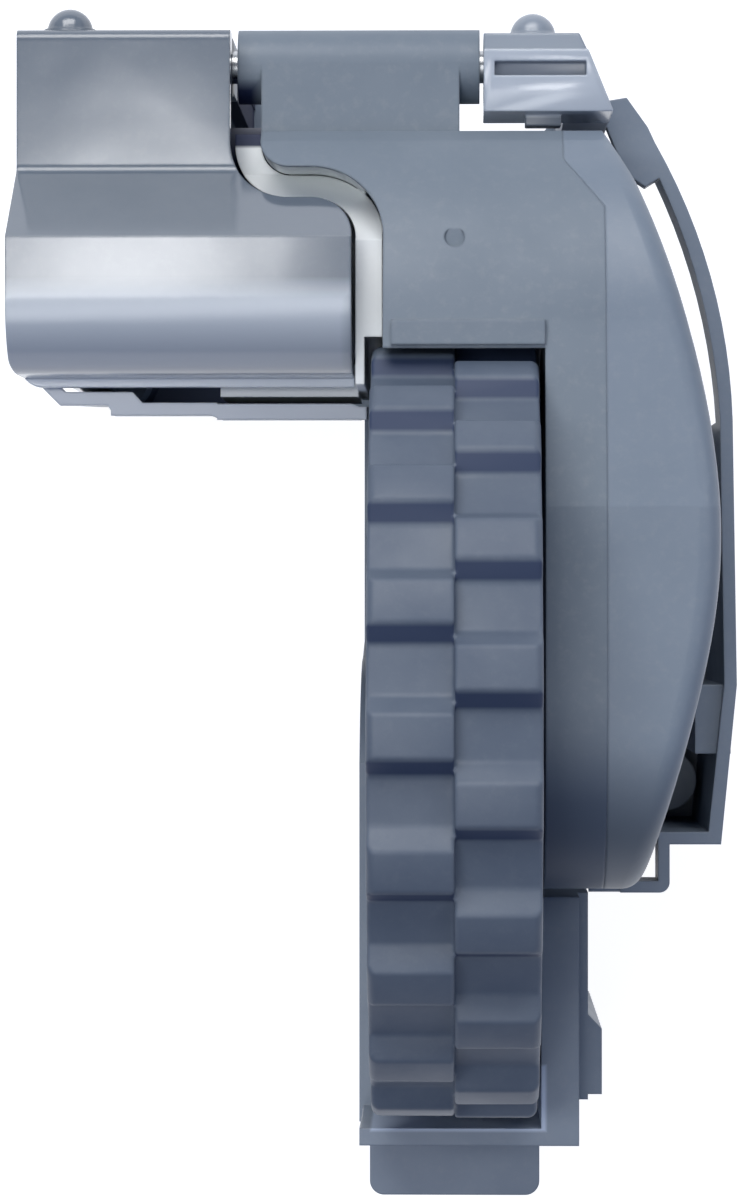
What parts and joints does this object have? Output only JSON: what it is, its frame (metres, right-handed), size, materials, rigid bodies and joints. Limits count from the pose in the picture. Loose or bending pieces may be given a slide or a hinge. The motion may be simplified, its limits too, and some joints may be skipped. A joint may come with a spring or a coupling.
{
  "type": "robot vacuum wheel module",
  "caption": "Sprung drive wheel unit for a floor-cleaning robot: geared motor in a swinging arm, toothed rubber tyre, fixed frame with motor bay.",
  "frame": {"origin": "on the closed back face, straight under the middle of the wheel", "axes": "+X along the axle from the motor bay to the gear cover, +Y from the tail tongue to the pivot, +Z out of the robot towards the floor"},
  "size_m": [0.0667, 0.1124, 0.085],
  "materials": {
    "frame_plastic": "fine moulded grain",
    "gloss_cover": "polished moulding",
    "arm_plastic": "satin moulded",
    "carrier_plastic": "natural moulding, satin",
    "tread_rubber": "moulded rubber with lugs",
    "hub_plastic": "satin moulded",
    "gear_white": "natural acetal",
    "steel": "ground pin",
    "spring_steel": "drawn wire",
    "screw_steel": "zinc plated",
    "motor_steel": "plated drawn can",
    "bearing_bronze": "sintered",
    "switch_black": "moulded",
    "plunger_red": "moulded",
    "magnet_black": "bonded ferrite",
    "board_green": "solder mask",
    "header_white": "moulded"
  },
  "bodies": {
    "frame": {"base_frame": "frame_plastic", "motor_bay_cover": "gloss_cover", "pivot_bracket": "gloss_cover", "pivot_pin": "steel", "pin_clip": "steel", "bracket_screw": "screw_steel", "cover_screw": "screw_steel", "suspension_spring": "spring_steel", "drop_switch": "switch_black"},
    "arm": {"arm_case": "arm_plastic", "gear_cover": "arm_plastic", "motor_carrier": "carrier_plastic", "gear_pins": "steel", "inner_bearing": "bearing_bronze", "outer_bearing": "bearing_bronze", "case_screws": "screw_steel", "motor_can": "motor_steel", "motor_end_cap": "switch_black", "encoder_board": "board_green", "connector_header": "header_white", "motor_screws": "screw_steel"},
    "rotor": {"motor_shaft": "steel", "motor_pinion": "bearing_bronze", "encoder_magnet": "magnet_black"},
    "transfer": {"transfer_shaft": "steel", "first_gear": "gear_white", "transfer_pinion": "steel"},
    "second": {"second_gear": "gear_white"},
    "third": {"third_gear": "gear_white"},
    "wheel": {"output_gear": "gear_white", "output_shaft": "steel", "tyre": "tread_rubber", "wheel_hub": "hub_plastic", "wheel_screw": "screw_steel"},
    "plunger": {"switch_plunger": "plunger_red"}
  },
  "joints": [
    {"name": "arm_swing", "type": "hinge", "parent": "frame", "child": "arm", "pos_m": [0, 0.061, 0.044], "axis": [1, 0, 0], "range_deg": [0, 12], "stiffness_Nm_per_rad": 0.95, "springref_deg": -21.2, "deforming": ["suspension_spring"]},
    {"name": "wheel_spin", "type": "hinge", "parent": "arm", "child": "wheel", "pos_m": [0, 0, 0.05], "axis": [1, 0, 0], "continuous": true},
    {"name": "third_gear_spin", "type": "hinge", "parent": "arm", "child": "third", "pos_m": [0, 0.016, 0.05], "axis": [1, 0, 0], "continuous": true},
    {"name": "second_gear_spin", "type": "hinge", "parent": "arm", "child": "second", "pos_m": [0, 0.03207, 0.049], "axis": [1, 0, 0], "continuous": true},
    {"name": "transfer_spin", "type": "hinge", "parent": "arm", "child": "transfer", "pos_m": [0, 0.04539, 0.04539], "axis": [1, 0, 0], "continuous": true},
    {"name": "motor_spin", "type": "hinge", "parent": "arm", "child": "rotor", "pos_m": [0, 0.044, 0.0365], "axis": [1, 0, 0], "continuous": true},
    {"name": "switch_press", "type": "slide", "parent": "frame", "child": "plunger", "axis": [0, 0, 1], "range_m": [-0.0028, 0]}
  ],
  "couplings": [
    {"joint": "third_gear_spin", "follows": "wheel_spin", "ratio": -2.6364},
    {"joint": "second_gear_spin", "follows": "wheel_spin", "ratio": 7.4697},
    {"joint": "transfer_spin", "follows": "wheel_spin", "ratio": -21.164},
    {"joint": "motor_spin", "follows": "wheel_spin", "ratio": 55.027},
    {"joint": "switch_press", "follows": "arm_swing", "m_per_rad": -0.0129}
  ]
}
